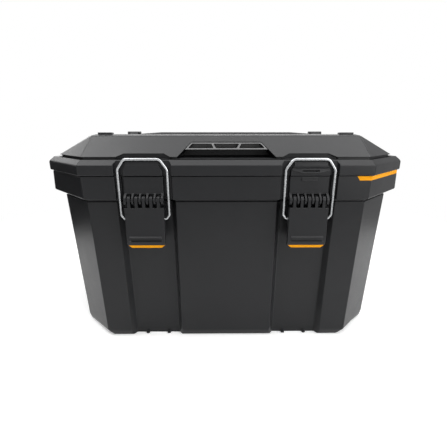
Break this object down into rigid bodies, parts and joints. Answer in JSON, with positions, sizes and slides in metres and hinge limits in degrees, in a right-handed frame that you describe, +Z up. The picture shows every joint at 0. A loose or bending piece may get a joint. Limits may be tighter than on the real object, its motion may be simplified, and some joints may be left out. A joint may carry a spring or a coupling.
{
  "type": "toolbox",
  "caption": "Plastic toolbox with a hinged lid, wire latches, a folding carry handle, covered organiser wells and a lift-out tray.",
  "frame": {"origin": "centre of the base, on the floor plane", "axes": "+X to the right as seen from the front, -Y towards the front with the latches, +Z up"},
  "size_m": [0.508, 0.3002, 0.2957],
  "materials": {
    "body_plastic": "grained",
    "trim_plastic": "satin",
    "yellow_plastic": "satin",
    "tray_plastic": "satin",
    "zinc_steel": "zinc plated",
    "seal_rubber": "matte"
  },
  "bodies": {
    "tub": {"tub": "body_plastic", "hinge_pin_left": "zinc_steel", "hinge_pin_right": "zinc_steel", "latch_pin_left": "zinc_steel", "latch_pin_right": "zinc_steel", "corner_stripe": "yellow_plastic"},
    "lid": {"lid": "body_plastic", "lid_seal": "seal_rubber", "front_grip": "trim_plastic", "handle_pin_left": "zinc_steel", "handle_pin_right": "zinc_steel", "organiser_pin_left": "zinc_steel", "organiser_pin_right": "zinc_steel"},
    "carry_handle": {"carry_handle": "trim_plastic"},
    "cover_left": {"organiser_cover_left": "trim_plastic"},
    "cover_right": {"organiser_cover_right": "trim_plastic"},
    "lever_left": {"latch_lever_left": "body_plastic", "latch_tip_left": "yellow_plastic"},
    "lever_right": {"latch_lever_right": "body_plastic", "latch_tip_right": "yellow_plastic"},
    "bail_left": {"latch_bail_left": "zinc_steel"},
    "bail_right": {"latch_bail_right": "zinc_steel"},
    "tray": {"tray": "tray_plastic", "tray_divider_left": "trim_plastic", "tray_divider_right": "trim_plastic"}
  },
  "joints": [
    {"name": "lid_hinge", "type": "hinge", "parent": "tub", "child": "lid", "pos_m": [0, 0.146, 0.2415], "axis": [-1, 0, 0], "range_deg": [0, 105]},
    {"name": "lever_left_hinge", "type": "hinge", "parent": "tub", "child": "lever_left", "pos_m": [-0.1025, -0.1395, 0.212], "axis": [-1, 0, 0], "range_deg": [0, 116]},
    {"name": "lever_right_hinge", "type": "hinge", "parent": "tub", "child": "lever_right", "pos_m": [0.1025, -0.1395, 0.212], "axis": [-1, 0, 0], "range_deg": [0, 116]},
    {"name": "bail_left_pivot", "type": "hinge", "parent": "lever_left", "child": "bail_left", "pos_m": [-0.1025, -0.139, 0.188], "axis": [1, 0, 0], "range_deg": [0, 279]},
    {"name": "bail_right_pivot", "type": "hinge", "parent": "lever_right", "child": "bail_right", "pos_m": [0.1025, -0.139, 0.188], "axis": [1, 0, 0], "range_deg": [0, 279]},
    {"name": "tray_lift", "type": "slide", "parent": "tub", "child": "tray", "axis": [0, 0, 1], "range_m": [0, 0.11]},
    {"name": "handle_fold", "type": "hinge", "parent": "lid", "child": "carry_handle", "pos_m": [0, 0.004, 0.2852], "axis": [-1, 0, 0], "range_deg": [0, 90]},
    {"name": "cover_left_hinge", "type": "hinge", "parent": "lid", "child": "cover_left", "pos_m": [-0.161, 0.053, 0.2925], "axis": [-1, 0, 0], "range_deg": [0, 110]},
    {"name": "cover_right_hinge", "type": "hinge", "parent": "lid", "child": "cover_right", "pos_m": [0.161, 0.053, 0.2925], "axis": [-1, 0, 0], "range_deg": [0, 110]}
  ],
  "couplings": [
    {"joint": "lever_left_hinge", "follows": "lid_hinge", "ratio": 1.1},
    {"joint": "lever_right_hinge", "follows": "lid_hinge", "ratio": 1.1},
    {"joint": "bail_left_pivot", "follows": "lid_hinge", "ratio": 2.65},
    {"joint": "bail_right_pivot", "follows": "lid_hinge", "ratio": 2.65},
    {"joint": "tray_lift", "follows": "lid_hinge", "m_per_rad": 0.06}
  ]
}
